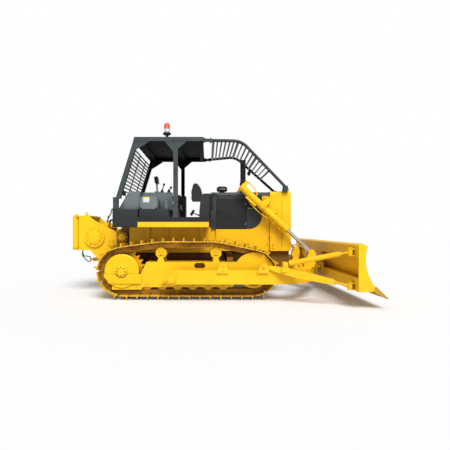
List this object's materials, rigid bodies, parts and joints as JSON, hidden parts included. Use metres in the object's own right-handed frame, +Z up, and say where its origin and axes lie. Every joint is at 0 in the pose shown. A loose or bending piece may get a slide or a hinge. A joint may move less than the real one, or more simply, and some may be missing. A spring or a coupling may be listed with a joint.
{
  "type": "crawler bulldozer with canopy and rear winch",
  "caption": "Crawler dozer with an angle blade on a C-shaped push frame, lift cylinders, an open canopy with sweeps, fixed tracks and a rear winch with a fairlead.",
  "frame": {"origin": "on the ground, midway between the fairlead's rear edge and the blade's cutting tip, on the machine's centre plane", "axes": "+X forward towards the blade, +Y to the machine's left, +Z up"},
  "size_m": [6.336, 4.365, 3.68],
  "materials": {
    "yellow_paint": "gloss enamel",
    "dark_paint": "satin enamel",
    "black_paint": "satin enamel",
    "track_steel": "painted shoes with bare grouser edges",
    "dark_iron": "painted casting",
    "bare_steel": "worn bright by the rope and the pins' use",
    "chromed_rod": "ground and chromed",
    "black_plastic": "moulded",
    "seat_vinyl": "black vinyl",
    "beacon_lens": "orange-red lens",
    "wire_rope": "greased wire rope"
  },
  "bodies": {
    "hull": {"track_left": "track_steel", "track_right": "track_steel", "sprockets": "yellow_paint", "idlers": "yellow_paint", "bottom_rollers": "yellow_paint", "carrier_rollers": "yellow_paint", "track_frames": "yellow_paint", "final_drives": "yellow_paint", "pivot_shafts": "yellow_paint", "equalizer_bar": "yellow_paint", "main_frame": "yellow_paint", "rear_case": "yellow_paint", "engine_block": "dark_iron", "engine_bay_sides": "yellow_paint", "radiator_guard": "yellow_paint", "front_grille": "dark_paint", "radiator_core": "dark_iron", "engine_hood": "dark_paint", "exhaust_stack": "dark_paint", "air_precleaner": "black_plastic", "fenders": "dark_paint", "operator_deck": "dark_paint", "fuel_tank": "dark_paint", "hydraulic_tank": "dark_paint", "battery_box": "dark_paint", "dash_cowl": "dark_paint", "instrument_panel": "black_plastic", "seat_frame": "black_paint", "seat_cushion": "seat_vinyl", "seat_back": "seat_vinyl", "headrest": "seat_vinyl", "controls": "black_paint", "canopy_frame": "dark_paint", "canopy_roof": "dark_paint", "rear_screen": "dark_paint", "sweep_tubes": "dark_paint", "sweep_screen": "dark_paint", "beacon": "beacon_lens", "cylinder_yokes": "yellow_paint", "winch_housing": "yellow_paint", "fairlead_frame": "yellow_paint", "winch_rope": "wire_rope", "drawbar": "yellow_paint"},
    "push_frame": {"c_frame": "yellow_paint", "struts": "yellow_paint", "braces": "yellow_paint", "strut_pins": "yellow_paint", "blade": "yellow_paint", "cutting_edge": "yellow_paint"},
    "lift_barrel_left": {"lift_barrel_left": "yellow_paint"},
    "lift_barrel_right": {"lift_barrel_right": "yellow_paint"},
    "lift_rod_left": {"lift_rod_left": "chromed_rod"},
    "lift_rod_right": {"lift_rod_right": "chromed_rod"},
    "engine_door_left": {"engine_door_left": "dark_paint"},
    "engine_door_right": {"engine_door_right": "dark_paint"},
    "winch_drum": {"winch_drum": "wire_rope"},
    "fairlead_roller_left": {"fairlead_roller_left": "yellow_paint"},
    "fairlead_roller_right": {"fairlead_roller_right": "yellow_paint"},
    "fairlead_cross_roller": {"fairlead_cross_roller": "bare_steel"}
  },
  "joints": [
    {"name": "push_frame_lift", "type": "hinge", "parent": "hull", "child": "push_frame", "pos_m": [-0.797, 0, 0.48], "axis": [0, -1, 0], "range_deg": [-10.4, 15]},
    {"name": "lift_cylinder_swing_left", "type": "hinge", "parent": "hull", "child": "lift_barrel_left", "pos_m": [1.117, 0.7, 1.957], "axis": [0, -1, 0], "range_deg": [-14.2, 20.4]},
    {"name": "lift_rod_slide_left", "type": "slide", "parent": "lift_barrel_left", "child": "lift_rod_left", "axis": [0.7254, 0, -0.6883], "range_m": [-0.6145, 0.4265]},
    {"name": "engine_door_swing_left", "type": "hinge", "parent": "hull", "child": "engine_door_left", "pos_m": [0.788, 0.5, 1.79], "axis": [0, 0, 1], "range_deg": [-85, 0]},
    {"name": "lift_cylinder_swing_right", "type": "hinge", "parent": "hull", "child": "lift_barrel_right", "pos_m": [1.117, -0.7, 1.957], "axis": [0, -1, 0], "range_deg": [-14.2, 20.4]},
    {"name": "lift_rod_slide_right", "type": "slide", "parent": "lift_barrel_right", "child": "lift_rod_right", "axis": [0.7254, 0, -0.6883], "range_m": [-0.6145, 0.4265]},
    {"name": "engine_door_swing_right", "type": "hinge", "parent": "hull", "child": "engine_door_right", "pos_m": [0.788, -0.5, 1.79], "axis": [0, 0, -1], "range_deg": [-85, 0]},
    {"name": "winch_drum_turn", "type": "hinge", "parent": "hull", "child": "winch_drum", "pos_m": [-2.65, 0, 1.27], "axis": [0, 1, 0], "continuous": true},
    {"name": "fairlead_roller_turn_left", "type": "hinge", "parent": "hull", "child": "fairlead_roller_left", "pos_m": [-3.095, 0.335, 1.36], "axis": [0, 0, 1], "continuous": true},
    {"name": "fairlead_roller_turn_right", "type": "hinge", "parent": "hull", "child": "fairlead_roller_right", "pos_m": [-3.095, -0.335, 1.36], "axis": [0, 0, 1], "continuous": true},
    {"name": "fairlead_cross_roller_turn", "type": "hinge", "parent": "hull", "child": "fairlead_cross_roller", "pos_m": [-2.93, 0, 1.085], "axis": [0, 1, 0], "continuous": true}
  ],
  "couplings": [
    {"joint": "lift_cylinder_swing_left", "follows": "push_frame_lift", "ratio": 1.35},
    {"joint": "lift_rod_slide_left", "follows": "push_frame_lift", "m_per_rad": -2.34},
    {"joint": "lift_cylinder_swing_right", "follows": "push_frame_lift", "ratio": 1.35},
    {"joint": "lift_rod_slide_right", "follows": "push_frame_lift", "m_per_rad": -2.34}
  ]
}
